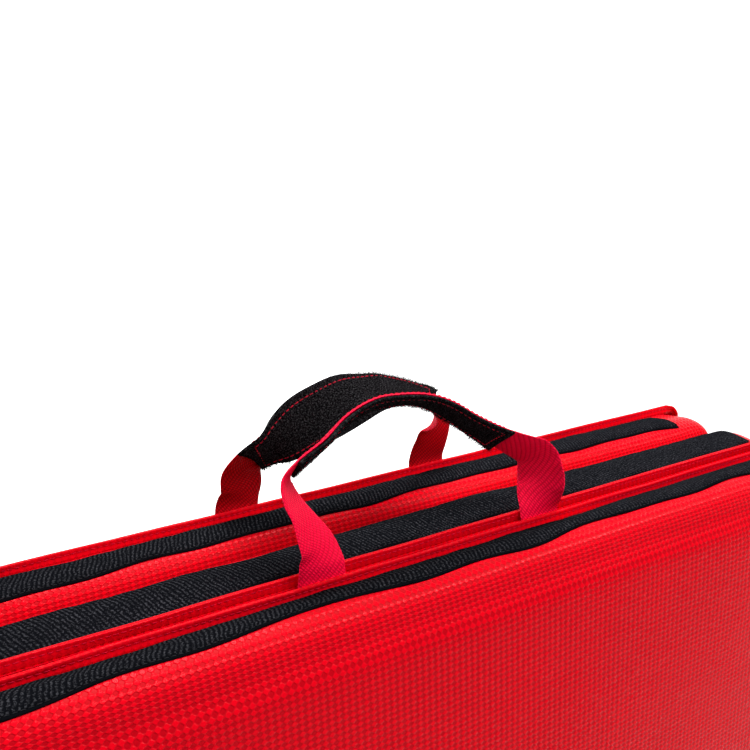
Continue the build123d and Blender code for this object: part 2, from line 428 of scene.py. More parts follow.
def steps(length):
    """Places along one side of a cover, close together near its edges."""
    near = CORNER * np.array([0, 0.2, 0.42, 0.7])
    middle = np.linspace(CORNER, length - CORNER, max(4, round((length - 2 * CORNER) / LATTICE)))
    return np.concatenate([near, middle, length - near[::-1]])


def block(inset, closed):
    """Points and faces of a rounded block; open at the base unless closed."""
    size = np.array([LENGTH, DEPTH, HEIGHT])
    axes = [steps(s) for s in size]
    counts = [len(a) for a in axes]
    index = -np.ones(counts, int)
    surface = np.zeros(counts, bool)
    walls = [(axis, end) for axis in range(3) for end in (0, -1) if closed or (axis, end) != (1, 0)]
    for axis, end in walls:
        pick = [slice(None)] * 3
        pick[axis] = end
        surface[tuple(pick)] = True
    index[surface] = np.arange(surface.sum())
    i, j, k = np.nonzero(surface)
    p = np.stack([axes[0][i], axes[1][j], axes[2][k]], -1)
    faces, sides = [], []
    for axis, end in walls:
        flat = np.take(index, end, axis)
        quads = np.stack([flat[:-1, :-1], flat[1:, :-1], flat[1:, 1:], flat[:-1, 1:]], -1)
        faces += quads.reshape(-1, 4).tolist()
        sides += [(axis, end)] * (len(faces) - len(sides))
    inner = np.clip(p, CORNER, size - CORNER)
    if not closed:
        inner[:, 1] = np.clip(p[:, 1], -1, size[1] - CORNER)
    normal = unit(p - inner)
    q = inner + normal * CORNER
    q[:, 0] -= LENGTH / 2
    p[:, 0] -= LENGTH / 2
    q -= normal * inset
    return q, normal, p, faces, sides


def cover_swell(section, q, normal):
    """How far a filled cover stands out of its block, with the creases that a sewn edge pulls in it."""
    u, d, h = q.T
    across = 1 - np.abs(2 * u / LENGTH) ** 4
    up = 1 - np.abs(2 * h / HEIGHT - 1) ** 5
    deep = np.sin(np.pi * np.clip(d / DEPTH, 0, 1) ** 1.8) ** 0.8  # fullest near the face
    face = np.maximum(normal[:, 1], 0) * FACE_BULGE[section] * across * up
    top = np.maximum(normal[:, 2], 0) * TOP_BULGE[section] * deep * (0.35 + 0.65 * across)
    ends = np.abs(normal[:, 0]) * END_BULGE * deep * up
    loose = 1.0 if section == "front" else 0.4
    waves = ripple(u, h, 0.17, SEED + len(section)) * WAVES * loose * up * across
    waves *= np.maximum(normal[:, 1], 0)
    ridge = np.maximum(normal[:, 2], 0) * ripple(u, d * 0.4, 0.09, SEED + 3) * RIDGES * deep
    tug = ripple(u, h, 0.024, SEED + 11) * TUGS * np.exp(-d / (9 * MM))
    tug *= np.clip(d / (3 * MM), 0, 1) * (1 - np.maximum(normal[:, 1], 0))
    return face + top + ends + waves + ridge + tug


def cloth_places(flat, sides, faces):
    """Where each face corner lies on the flattened fabric."""
    out = []
    for (axis, end), face in zip(sides, faces):
        p = flat[list(face)]
        past = (DEPTH - p[:, 1]) * (1 if end else -1)
        if axis == 1:
            out.append(p[:, [0, 2]])
        elif axis == 2:
            out.append(np.stack([p[:, 0], (HEIGHT if end else 0.0) + past], -1))
        else:
            out.append(np.stack([(LENGTH / 2 if end else -LENGTH / 2) + past, p[:, 2]], -1))
    return np.concatenate(out)


def refine(obj):
    """Subdivides a mesh smoothly once, and keeps its open edge and its places on the cloth."""
    modifier = obj.modifiers.new("smooth", "SUBSURF")
    modifier.levels = modifier.render_levels = 1
    modifier.boundary_smooth = "PRESERVE_CORNERS"
    modifier.uv_smooth = "NONE"
    graph = bpy.context.evaluated_depsgraph_get()
    mesh = bpy.data.meshes.new_from_object(obj.evaluated_get(graph))
    obj.modifiers.clear()
    obj.data = mesh


def coordinates(mesh):
    """A mesh's points."""
    values = np.empty(len(mesh.vertices) * 3)
    mesh.vertices.foreach_get("co", values)
    return values.reshape(-1, 3)


def settle(obj, section, normal):
    """Lets pressure fill the cover, as cloth held along its hem. The movement is evened out and
    kept within the room that the cover has."""
    mesh = obj.data
    rest = coordinates(mesh)
    held = np.nonzero(np.abs(rest[:, 1] - UNDERSIDE[section]) < 1.5 * MM)[0]
    obj.vertex_groups.new(name="held").add(held.tolist(), 1.0, "REPLACE")
    cloth = obj.modifiers.new("fill", "CLOTH")
    settings = cloth.settings
    settings.quality = 5
    settings.mass = 0.4
    settings.tension_stiffness = settings.compression_stiffness = 20
    settings.shear_stiffness = 8
    settings.bending_stiffness = 0.4
    settings.use_pressure = True
    settings.uniform_pressure_force = 3.0
    settings.vertex_group_mass = "held"
    settings.effector_weights.gravity = 0
    cloth.collision_settings.use_collision = False
    cloth.point_cache.frame_start, cloth.point_cache.frame_end = 1, FILL_FRAMES
    scene = bpy.context.scene
    for number in range(1, FILL_FRAMES + 1):
        scene.frame_set(number)
    graph = bpy.context.evaluated_depsgraph_get()
    after = coordinates(obj.evaluated_get(graph).to_mesh())
    obj.modifiers.clear()
    scene.frame_set(1)
    away = normal * (1, FACINGS[section], 1)
    moved = np.nan_to_num(after - rest)
    edges = np.empty(len(mesh.edges) * 2, int)
    mesh.edges.foreach_get("vertices", edges)
    one, other = edges.reshape(-1, 2).T
    near = np.bincount(edges, minlength=len(rest))[:, None]
    for _ in range(SMOOTHING):
        total = np.zeros_like(moved)
        np.add.at(total, one, moved[other])
        np.add.at(total, other, moved[one])
        moved = 0.4 * moved + 0.6 * total / near
    out = np.sum(moved * away, -1)
    along = moved - away * out[:, None]
    room = np.where(normal[:, 1] > 0.5, FACE_ROOM[section], SIDE_ROOM)
    room = np.where(normal[:, 2] < -0.5, LOWER_ROOM, room)
    out = np.clip(room * np.tanh(out / room), -INWARD_ROOM, room)
    slide = np.linalg.norm(along, axis=-1, keepdims=True)
    along *= np.minimum(1, SLIDE_ROOM / np.maximum(slide, 1e-9))
    mesh.vertices.foreach_set("co", (rest + away * out[:, None] + along).ravel())
    mesh.update()


def add_cover(section):
    """The embossed top cover, filled."""
    q, normal, flat, faces, sides = block(0, closed=False)
    q = q + normal * cover_swell(section, q, normal)[:, None]
    places = cloth_places(flat, sides, faces)
    cover = shape(f"{section}_cover_filled", place(section, *q.T), faces, COVER, corner_uv=places)
    outward(cover)
    settle(cover, section, normal)
    refine(cover)
    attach(cover, f"{section}_section")
    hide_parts(f"{section}_top_cover")
    return cover


def add_foam(section):
    """The foam block inside the cover."""
    q, _, flat, faces, sides = block(FOAM_INSET, closed=True)
    q[:, 1] = np.maximum(q[:, 1], FOAM_BOTTOM)
    places = cloth_places(flat, sides, faces)
    foam = shape(f"{section}_foam_block", place(section, *q.T), faces, FOAM, corner_uv=places)
    outward(foam)
    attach(foam, f"{section}_section")
    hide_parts(f"{section}_foam_core")


def add_base(section):
    """The base cloth: flat at its sewn edge, a little full in the middle."""
    us = np.linspace(-LENGTH / 2, LENGTH / 2, 82)
    hs = np.linspace(0, HEIGHT, 76)
    u, h = np.meshgrid(us, hs, indexing="ij")
    u = np.clip(u, -LENGTH / 2 + BASE_INSET, LENGTH / 2 - BASE_INSET)
    full = (1 - np.abs(2 * u / LENGTH) ** 4) * (1 - np.abs(2 * h / HEIGHT - 1) ** 4)
    out = BASE_BULGE[section] * full
    out += ripple(u, h, 0.16, SEED + 21) * 0.6 * MM * full * (1.5 if section == "rear" else 0.3)
    h = np.clip(h, BASE_INSET, HEIGHT - BASE_INSET)
    outer_side = place(section, u, BASE_OUTER - out, h)
    inner_side = place(section, u, BASE_INNER - out * 0.98, h)
    n = u.size
    skin = grid_faces(*u.shape) + [f[::-1] for f in grid_faces(*u.shape, start=n)]
    ids = np.arange(n).reshape(u.shape)
    rim = np.concatenate([ids[:, 0], ids[-1, 1:], ids[-2::-1, -1], ids[0, -2:0:-1]]).tolist()
    skin += [(a, b, b + n, a + n) for a, b in zip(rim, rim[1:] + rim[:1])]
    places = np.stack([u, h], -1)
    points = np.stack([outer_side, inner_side])
    base = shape(f"{section}_base_cloth", points, skin, BASE, np.stack([places, places]))
    outward(base)
    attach(base, f"{section}_section")
    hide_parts(f"{section}_base_sheet")


covers = {}
for section in FACINGS:
    covers[section] = add_cover(section)
    add_foam(section)
    add_base(section)


# ---- hems
HEM_RADIUS = 5 * MM  # of the outline's corners
LAYER = 1.15 * MM  # depth about which the hem folds
KNEE = 0.6 * MM  # distance from the section's side at which it starts to fold
FOLDED = math.radians(88)
FOLDED_ENDS = {"rear": (1,), "middle": (-1, 1), "front": (-1,)}  # ends folded flat, by sign of X
RIM_POINTS = 640
HEM_STITCH, HEM_STITCH_STEP = 3.1 * MM, 3.9 * MM
HEM_STITCH_LINE = 2.6 * MM  # distance of the stitches from the section's side
STITCHES_AT = ((2.35 * MM, 1), (-0.05 * MM, -1))  # their depth, and the way they face, on both sides


def rim_path(count):
    """Points round a section's outline, their outward directions and the distance run."""
    half_u, half_h = LENGTH / 2 - HEM_RADIUS, HEIGHT / 2 - HEM_RADIUS
    legs = []
    signs = ((1, 1, 0), (-1, 1, 90), (-1, -1, 180), (1, -1, 270))
    for side_u, side_h, start in signs:
        cu, ch = side_u * half_u, side_h * half_h
        for angle in np.radians(np.linspace(start, start + 90, 9)):
            c, s = math.cos(angle), math.sin(angle)
            legs.append((cu + HEM_RADIUS * c, ch + HEM_RADIUS * s, c, s))
    legs = np.array(legs + legs[:1])
    run = distance(legs[:, :2])
    even = np.linspace(0, run[-1], count, endpoint=False)
    even = np.sort(np.concatenate([even, run[:-1]]))
    return read_along(even, run, legs), even


def hem_fold(section, u, h):
    """0 where the hem stands up, 1 where it is folded flat over the cover's side."""
    fold = smoothstep(-h, HEIGHT / 2 - 14 * MM, HEIGHT / 2 - 2 * MM)
    for end in FOLDED_ENDS[section]:
        fold = np.maximum(fold, smoothstep(end * u, LENGTH / 2 - 9 * MM, LENGTH / 2 - 1 * MM))
    return fold


def hem_point(section, path, run, out, deep):
    """A place in the hem's cross-section: out of the section's side, and deep towards its face."""
    u, h, nu, nh = path.T
    fold = hem_fold(section, u, h)[:, None] * FOLDED
    lean = ripple(run, run * 0, 0.11, SEED + 31)[:, None] * 0.10 * (1 - fold)
    thin = 1 - 0.42 * fold / FOLDED
    angle = fold + lean
    up = out - KNEE
    across = (deep - LAYER) * thin
    turning = up > 0
    o = np.where(turning, KNEE + up * np.cos(angle) - across * np.sin(angle), out)
    d = np.where(turning, LAYER + up * np.sin(angle) + across * np.cos(angle), deep)
    return place(section, u[:, None] + nu[:, None] * o, d, HEIGHT / 2 + h[:, None] + nh[:, None] * o)


# The hem's cross-section as (out, deep): two layers of cloth, the second folded over the first.
HEM_SECTION = np.array(
    [
        (-1.5, 0.0), (0.3, -0.15), (1.6, 0.0), (2.6, 0.0), (3.6, -0.1), (4.6, -0.1), (4.95, 0.2),
        (4.95, 0.85), (4.5, 1.1), (4.5, 1.2), (5.15, 1.4), (5.15, 2.0), (4.8, 2.3), (3.6, 2.4),
        (2.6, 2.25), (1.6, 2.3), (0.3, 2.6), (-1.5, 3.2),
    ]
) * MM


def add_hem(section):
    """The raised hem all round the base cloth, and its row of lockstitches."""
    path, run = rim_path(RIM_POINTS)
    wave = ripple(run, run * 0, 0.05, SEED + 5)[:, None] * 0.12 * MM
    out = HEM_SECTION[None, :, 0] + wave * (HEM_SECTION[None, :, 0] > 3 * MM)
    deep = np.repeat(HEM_SECTION[None, :, 1], len(path), 0)
    points = hem_point(section, path, run, out, deep)
    girth = distance(HEM_SECTION)
    uv = np.stack(np.broadcast_arrays(run[:, None], girth[None, :]), -1)
    hem = tube(points, f"{section}_hem_fold", HEM, uv, ring=True)
    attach(hem, f"{section}_section")
    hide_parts(f"{section}_seam_hem")

    # Lockstitches through both layers, where the hem stands up.
    ends, normals = [], []
    line = np.full((2, 1), HEM_STITCH_LINE)
    for depth, away in STITCHES_AT:
        for mark in np.arange(2 * MM, run[-1] - 4 * MM, HEM_STITCH_STEP):
            marks = np.array([mark, mark + HEM_STITCH])
            at = read_along(marks, run, path)
            if hem_fold(section, at[:1, 0], at[:1, 1])[0] > 0.05:
                continue
            ends.append(hem_point(section, at, marks, line, np.full((2, 1), depth))[:, 0])
            normals.append(np.array([0, away * FACINGS[section], 0.0]))
    seam = capsules(f"{section}_hem_stitches", ends, normals, 0.28 * MM, 0.16 * MM, THREAD)
    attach(seam, f"{section}_section")
    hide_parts(f"{section}_seam_thread")


for section in FACINGS:
    add_hem(section)


# ---- tapes
TAPE_LOW, TAPE_HIGH = span("middle_upper_tape")
TAPE_LENGTH = TAPE_HIGH[0] - TAPE_LOW[0]
TAPE_WIDTH = TAPE_HIGH[1] - TAPE_LOW[1]
TAPE_CUT = {"rear": 22 * MM, "middle": 4 * MM, "front": 0}  # off the right end of each upper tape
TAPE_SHIFT = {"rear": 2 * MM, "middle": 2 * MM, "front": 5 * MM}  # towards the hem
TAPE_THICK = 1.5 * MM
TAPE_STITCH, TAPE_STITCH_STEP = 2.6 * MM, 3.4 * MM
# Places across a tape as shares of its half width, with a sewn-down selvedge at each edge.
TAPE_COLUMNS = np.array([-1, -0.97, -0.9, -0.86, -0.7, -0.45, -0.2, 0, 0.2, 0.45, 0.7, 0.86, 0.9, 0.97, 1])
SEWN_COLUMNS = (2, -3)


def tape(section, name, upper, material):
    """A strip of tape laid on the cover's upper or lower side, with wavy edges."""
    us = np.linspace(-TAPE_LENGTH / 2, TAPE_LENGTH / 2 - upper * TAPE_CUT[section], 308)
    u, w = np.meshgrid(us, TAPE_WIDTH / 2 * TAPE_COLUMNS, indexing="ij")
    seed = SEED + 41 + len(section) + 3 * upper
    sway = ripple(u, u * 0, 0.19, seed) * 1.4 * MM
    sway = sway + ripple(u, w * 1.6, 0.07, seed + 1) * 1.5 * MM
    d = DEPTH / 2 - TAPE_SHIFT[section] + w + sway
    edge = np.abs(w) / (TAPE_WIDTH / 2)
    swell = np.where(edge > 0.88, 0.5, 1.0) * np.where(edge > 0.99, 0.6, 1.0)
    if upper:
        tree = BVHTree.FromObject(covers[section], bpy.context.evaluated_depsgraph_get())
        over = place(section, u, d, HEIGHT + 30 * MM)
        ground = np.empty(u.shape)
        for i, j in np.ndindex(u.shape):
            hit = tree.ray_cast(Vector(over[i, j]), Vector((0, 0, -1)))[0]
            ground[i, j] = (hit.z if hit else TOP) - FLOOR_GAP
        pucker = np.abs(ripple(u, w * 0.3, 0.03, seed + 2)) * 0.35 * MM * smoothstep(edge, 0.6, 1)
        low = ground - 0.25 * MM
        high = ground + TAPE_THICK * swell + pucker + 0.1 * MM
    else:
        low = np.full(u.shape, -FLOOR_GAP + 0.02 * MM) + (1 - swell) * 0.4 * MM
        high = np.full(u.shape, 0.4 * MM)
    y = UNDERSIDE[section] + FACINGS[section] * d
    top = np.stack([u, y, FLOOR_GAP + high], -1)
    bottom = np.stack([u, y, FLOOR_GAP + low], -1)
    obj = layer(name, top, bottom, np.stack([u, w], -1), material)
    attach(obj, f"{section}_section")
    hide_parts(name.replace("_laid", ""))
    return obj, top


def add_tapes(section):
    """The hook tape above with its stitches, and the loop tape below."""
    obj, top = tape(section, f"{section}_upper_tape_laid", True, HOOKS)
    ends, normals = [], []
    for column in SEWN_COLUMNS:
        us, ys, zs = top[:, column].T
        for mark in np.arange(us[0] + 3 * MM, us[-1] - 5 * MM, TAPE_STITCH_STEP):
            two = np.array([mark, mark + TAPE_STITCH])
            ends.append(np.stack([two, np.interp(two, us, ys), np.interp(two, us, zs)], -1))
            normals.append(np.array([0, 0, 1.0]))
    sewn = capsules(f"{section}_tape_stitches", ends, normals, 0.25 * MM, 0.15 * MM, BLACK_THREAD)
    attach(sewn, f"{section}_section")
    obj, _ = tape(section, f"{section}_lower_tape_laid", False, LOOPS)


for section in FACINGS:
    add_tapes(section)


# ---- hinge strips
HINGE_SIDES = {"rear": 1, "front": -1}  # the end that each fold is at, by sign of X
HINGE_REACH = 4 * MM  # from the end of the sections to the fold's axis
HINGE_GAP = 2 * MM  # from the middle section's side to it
HINGE_RADIUS = 1.45 * MM
HINGE_LAP = 20 * MM  # how far the strip lies along each section
HINGE_CLOTH = 0.8 * MM
HINGE_TOP, HINGE_BOTTOM = 10 * MM, 9 * MM  # how far inside the hems its ends are


def add_hinge(name, side):
    """The strip of cover fabric that is folded round an upright fold and holds two sections."""
    low, high = span(f"{name}_hinge_strip")
    axis_x = side * (LENGTH / 2 + HINGE_REACH)
    axis_y = UNDERSIDE["middle"] + (DEPTH if side > 0 else 0) + side * HINGE_GAP
    radius = HINGE_RADIUS
    turn = np.radians(np.linspace(-90, 90, 13))
    runs = np.linspace(0, HINGE_LAP - 0.5 * MM, 8)
    line = [(axis_x - side * (HINGE_LAP - t), axis_y - side * radius) for t in runs]
    line += [(axis_x + side * radius * math.cos(a), axis_y + side * radius * math.sin(a)) for a in turn]
    line += [(axis_x - side * t, axis_y + side * radius) for t in runs + 0.5 * MM]
    line = np.array(line)
    tangent = unit(np.gradient(line, axis=0))
    normal = np.stack([-tangent[:, 1], tangent[:, 0]], -1)
    girth = distance(line)
    zs = np.linspace(low[2] + HINGE_BOTTOM, high[2] - HINGE_TOP, 121)
    levels = np.repeat(zs[:, None], len(line), 1)
    bow = 0.15 * MM * np.sin(levels * 70)
    sides = []
    for half in (HINGE_CLOTH / 2, -HINGE_CLOTH / 2):
        x, y = (line + normal * half).T
        sides.append(np.stack([x + bow, np.broadcast_to(y, levels.shape), levels], -1))
    places = np.stack([np.broadcast_to(girth, levels.shape), levels], -1)
    strip = layer(f"{name}_hinge_cloth", *sides, places, COVER)
    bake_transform(strip)
    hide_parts(f"{name}_hinge_strip", f"{name}_hinge_leaf")


for name, side in HINGE_SIDES.items():
    add_hinge(name, side)


# ---- handles
WEB_WIDTH, WEB_THICK = 30 * MM, 1.6 * MM
PAD_WIDTH, PAD_THICK = 38 * MM, 2.4 * MM
LEGS = {"rear": (-81 * MM, 69 * MM), "front": (-80 * MM, 80 * MM)}
LEANS = {"rear": math.radians(-15), "front": math.radians(18)}  # of the loops from upright
PIVOT_RISE = 6 * MM  # height of the bending line above the sections' upper side
BEND_FROM, BEND_TO = -3 * MM, 5 * MM  # the webbing bends between these heights about it


def stand(name, points, pivot):
    """Handle-plane points in the row frame. Below the bending line the webbing hangs straight down."""
    table_h = np.linspace(-0.06, 0.16, 1101)
    bend = LEANS[name] * smoothstep(table_h, BEND_FROM, BEND_TO)
    step = table_h[1] - table_h[0]
    zero = np.argmin(np.abs(table_h))
    ys = np.cumsum(np.sin(bend)) * step
    zs = np.cumsum(np.cos(bend)) * step
    ys, zs = ys - ys[zero], zs - zs[zero]
    x, h, o = points[..., 0], points[..., 1], points[..., 2]
    lean = np.interp(h, table_h, bend)
    y = pivot[1] + np.interp(h, table_h, ys) - o * np.cos(lean)
    z = pivot[2] + np.interp(h, table_h, zs) + o * np.sin(lean)
    return np.stack([x, y, z], -1)


class Strip:
    """A length of webbing: its middle line and the way its width points."""

    def __init__(self, name, controls, pivot, step):
        line, self.run = spline(controls, step)
        self.name, self.pivot = name, pivot
        self.middle = line[:, :3]
        self.tangent = unit(np.gradient(self.middle, axis=0))
        wide = line[:, 3:6]
        wide = wide - self.tangent * np.sum(wide * self.tangent, -1, keepdims=True)
        self.wide = unit(wide)
        self.normal = np.cross(self.tangent, self.wide)

    def at(self, s, w, n):
        """The place s along the webbing, w across it and n off its surface."""
        shape_out = np.broadcast(s, w, n).shape
        s, w, n = (np.broadcast_to(v, shape_out).astype(float) for v in (s, w, n))
        lines = (self.middle, self.wide, self.normal)
        middle, wide, normal = (read_along(s, self.run, line) for line in lines)
        return stand(self.name, middle + wide * w[..., None] + normal * n[..., None], self.pivot)


def slab(strip, name, start, end, half, thick, offset, across, step, relief, material, skews=(0, 0)):
    """A strip of cloth of that width and thickness on the line of the webbing; its ends may slant.
    Its points lie closer together near its two edges."""
    ss = np.linspace(start, end, max(2, round((end - start) / step)))
    ws = np.sin(np.linspace(-1, 1, across) * math.pi / 2 * 0.92) / math.sin(math.pi / 2 * 0.92) * half
    ws = 0.5 * ws + 0.5 * np.linspace(-half, half, across)
    s, w = np.meshgrid(ss, ws, indexing="ij")
    s = s + slant(s, w, start, end, half, skews)
    body = thick / 2 * (1 - np.abs(w / half) ** 10) ** 0.5
    inner = 1 - np.abs(w / half) ** 6
    top = strip.at(s, w, offset + body + relief(s, w) * inner)
    bottom = strip.at(s, w, offset - body - relief(s, -w) * inner)
    return layer(name, top, bottom, np.stack([s, w], -1), material)


def slant(s, w, start, end, half, skews):
    """How far a strip's fabric is pulled along it, from one slanting end to the other."""
    share = (s - start) / (end - start)
    return w / half * (skews[0] * (1 - share) + skews[1] * share)


def weave(s, w):
    """Relief of the webbing's slanting picks."""
    picks = np.sin(math.pi * (s + w) / WEAVE_PITCH) * np.sin(math.pi * (s - w) / (2 * WEAVE_PITCH))
    return np.abs(picks) ** 0.6 * 0.11 * MM


def padding(s, w):
    """Relief of the soft pads, none at their edges."""
    return 0.25 * MM * ripple(s, w, 0.022, SEED + 61) * smoothstep(PAD_WIDTH / 2 - np.abs(w), 0, 4 * MM)


def fluff(strip, name, start, end, half, offset, side, count, seed, material, skews):
    """Nap on one side of a pad: short bent fibres, more of them along its edges."""
    draws = np.random.default_rng(seed)
    points, faces = [], []
    s = draws.uniform(start, end, count)
    w = draws.uniform(-half, half, count)
    edge = draws.random(count) < 0.25
    w[edge] = np.sign(w[edge]) * half * draws.uniform(0.93, 1.0, edge.sum())
    s = s + slant(s, w, start, end, half, skews)
    length = draws.uniform(0.7, 1.9, count) * MM
    length[edge] *= 1.25
    lean = draws.normal(0, 0.55, (count, 2))
    lean[edge, 1] += np.sign(w[edge]) * 1.4
    width = 0.16 * MM
    for t, share in ((0, 1.0), (0.5, 0.8), (1.0, 0.15)):
        rise = offset + side * length * t * (1 - 0.25 * t)
        ds, dw = lean[:, 0] * length * t, lean[:, 1] * length * t
        a = strip.at(s + ds - width * share / 2, w + dw, rise)
        b = strip.at(s + ds + width * share / 2, w + dw, rise)
        points += [a, b]
    points = np.stack(points, 1).reshape(-1, 3)
    for k in range(count):
        base = k * 6
        faces += [(base, base + 1, base + 3, base + 2), (base + 2, base + 3, base + 5, base + 4)]
    uv = np.repeat(np.stack([s, w], -1), 6, 0)
    return shape(name, points, faces, material, uv, smooth=False)


def stitch_line(strip, corners, offset, side):
    """Ends and normals of the stitches along a closed line of corners on a strip."""
    ends, normals = [], []
    for (s0, w0), (s1, w1) in zip(corners, corners[1:] + corners[:1]):
        reach = math.hypot(s1 - s0, w1 - w0)
        count = max(1, round(reach / PAD_STITCH_STEP))
        for k in range(count):
            share = np.array([k / count, k / count + PAD_STITCH / reach * 0.98])
            s, w = s0 + (s1 - s0) * share, w0 + (w1 - w0) * share
            two = strip.at(s, w, offset)
            lifted = strip.at(s[0], w[0], offset + side * 1 * MM)
            ends.append(two)
            normals.append(unit(lifted - two[0]))
    return ends, normals


VIEW = np.array([0.524, 0.811, -0.260])  # from the front left, down onto the handles
SIGHT = {}  # the same line in each handle's plane
for name, lean in LEANS.items():
    up_handle = np.array([0, math.sin(lean), math.cos(lean)])
    off_handle = np.array([0, -math.cos(lean), math.sin(lean)])
    SIGHT[name] = np.array([VIEW[0], VIEW @ up_handle, VIEW @ off_handle])


def turned(name, rows):
    """Controls of a strip from rows of (x, h, o, turn): along the handle, up and off its plane in
    millimetres. turn is 90 where the strip faces the line of sight, 0 where it is edge on to it and
    FLAT where it lies along the hem."""
    rows = np.array(rows, float)
    places, turns = rows[:, :3] * MM, np.radians(rows[:, 3])
    tangent = unit(np.gradient(places, axis=0))
    sight = SIGHT[name]
    edge_on = unit(np.cross(tangent, sight))
    away = unit(sight - tangent * (tangent @ sight)[:, None])
    normal = edge_on * np.cos(turns)[:, None] + away * np.sin(turns)[:, None]
    normal[np.isnan(turns)] = (0, 0, -1)
    wide = np.cross(normal, tangent)
    return np.hstack([places, wide])


def pivot_of(name):
    """The middle of a handle's bending line at rest."""
    low, high = span(f"{name}_handle_ends")
    return np.array([0, (low[1] + high[1]) / 2, TOP + PIVOT_RISE])


WEB_STEP = 0.62 * MM
WEB_ACROSS = 40
NAP_FIBRES = 9000

FLAT = math.nan
REAR_LINE = [
    (-81, -31, 0, FLAT), (-81, -18, 0, FLAT), (-81, -6, 0, FLAT), (-80, 4, 0, 50), (-78.5, 12, 0.5, 46),
    (-79.5, 20, 1, 46), (-80, 28, 2, 38), (-76, 36, 3, 26), (-65, 42, 3, 32), (-54, 47.5, 3, 56),
    (-38, 55, 2.5, 80), (-23, 60.5, 2.5, 92), (-8, 64.5, 2, 110), (8, 66.5, 2, 134), (22, 66, 2, 146),
    (36, 62, 2, 154), (48, 57.5, 2, 160), (58, 51.5, 2, 164), (66, 44, 2, 160), (70, 35, 1.5, 146),
    (70.5, 27, 1, 134), (70, 19, 1, 131), (69, 11, 0.5, 128), (68.5, 2, 0, 126), (69, -7, 0, FLAT),
    (69, -20, 0, FLAT), (69, -31, 0, FLAT),
]
FRONT_LINE = [
    (-80, -31, 0, FLAT), (-80, -18, 0, FLAT), (-80, -6, 0, FLAT), (-79.5, 3, 0, 52), (-80, 12, 0, 38),
    (-83.5, 22, 0, 26), (-88, 34, 0, 13), (-91.5, 43, 0, 9), (-92, 51, 0.5, 6), (-86, 58.5, 1, 2),
    (-70, 67, 2, 1), (-54.5, 76.7, 2, 3), (-37.4, 83.4, 2, 5), (-21.6, 85, 2, 7.5), (-2, 83, 2, 10),
    (14.6, 77.3, 2, 14), (31.4, 65.8, 2, 17), (47, 55, 2, 22), (59, 47, 2.5, 29), (69, 41, 3, 35),
    (77, 36.5, 3, 44), (82, 30.5, 3, 52), (82.5, 23, 2.5, 64), (82, 15, 2, 82), (80.5, 8, 1, 98),
    (79.5, 0, 0, 114), (79.5, -8, 0, FLAT), (80, -18, 0, FLAT), (80, -31, 0, FLAT),
]
handles = {
    name: Strip(name, turned(name, rows), pivot_of(name), 1 * MM)
    for name, rows in (("rear", REAR_LINE), ("front", FRONT_LINE))
}

# The pads' ends: the nearest points of the lines above, then how far the pad is moved along the
# webbing there and how far its corners slant.
PAD_ENDS = {"rear": ((-71, 39), (61, 49)), "front": ((-87, 57.5), (58.5, 47.5))}
PAD_SHIFTS = {"rear": (-4 * MM, 3 * MM), "front": (0, -1 * MM)}
PAD_SKEWS = {"rear": (2 * MM, -5 * MM), "front": (0, 4.5 * MM)}
PAD_SIDE = -1  # the side that closes on the other handle's pad
PAD_MARGIN = 5 * MM  # from a pad's edge to its stitches
PAD_STITCH, PAD_STITCH_STEP = 2.7 * MM, 3.6 * MM
BOX = 20 * MM  # size of the box stitches
BOX_STITCH = 3.6 * MM
BOX_LINE = ((-1, -1), (1, -1), (1, 1), (-1, 1), (-1, -1), (1, 1), (1, -1), (-1, 1))


def add_webbing(name, strip):
    """A handle's webbing from one sewn end over the loop to the other. The rear one's inner side is
    darker: painted shade, a darker copy of the webbing's colours."""
    web = slab(
        strip, f"{name}_webbing", 0.0, strip.run[-1], WEB_WIDTH / 2, WEB_THICK, 0, WEB_ACROSS, WEB_STEP,
        weave, WEBBING,
    )
    # Painted shade on the rear handle's inner side.
    if name == "rear":
        web.data.materials.append(WEBBING_PAINTED_SHADE)
        for number, face in enumerate(web.data.polygons):
            face.material_index = int(number % (2 * WEB_ACROSS) >= WEB_ACROSS)
    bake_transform(web)
    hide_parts(f"{name}_handle_ends", f"{name}_handle_webbing")


def add_pad(name, strip):
    """A handle's grip pad with its nap and its red stitches, which show on the webbing as well."""
    s0, s1 = (
        strip.run[np.argmin(np.linalg.norm(strip.middle[:, :2] - np.array(at) * MM, axis=1))] + shift
        for at, shift in zip(PAD_ENDS[name], PAD_SHIFTS[name])
    )
    skews = PAD_SKEWS[name]
    half = PAD_WIDTH / 2
    offset = PAD_SIDE * (WEB_THICK + PAD_THICK) / 2 * 1.06
    pad = slab(
        strip, f"{name}_grip_cloth", s0, s1, half, PAD_THICK, offset, 22, 1.5 * MM, padding, PAD, skews
    )
    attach(pad, f"{name}_handle")
    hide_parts(f"{name}_grip_pad")
    face = offset + PAD_SIDE * PAD_THICK / 2
    nap_half = half - 2.5 * MM
    nap = fluff(
        strip, f"{name}_grip_nap", s0, s1, nap_half, face, PAD_SIDE, NAP_FIBRES, SEED + 71, PAD, skews
    )
    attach(nap, f"{name}_handle")
    far = half - PAD_MARGIN
    corners = [
        (s0 + PAD_MARGIN, -far), (s1 - PAD_MARGIN, -far), (s1 - PAD_MARGIN, far), (s0 + PAD_MARGIN, far)
    ]
    corners = [(s + slant(s, w, s0, s1, half, skews), w) for s, w in corners]
    ends, normals = stitch_line(strip, corners, face, PAD_SIDE)
    more = stitch_line(strip, corners, -PAD_SIDE * 0.62 * MM, -PAD_SIDE)
    ends, normals = ends + more[0], normals + more[1]
    sewn = capsules(f"{name}_pad_stitches", ends, normals, 0.32 * MM, 0.2 * MM, THREAD)
    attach(sewn, f"{name}_handle")
    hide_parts(f"{name}_pad_thread")


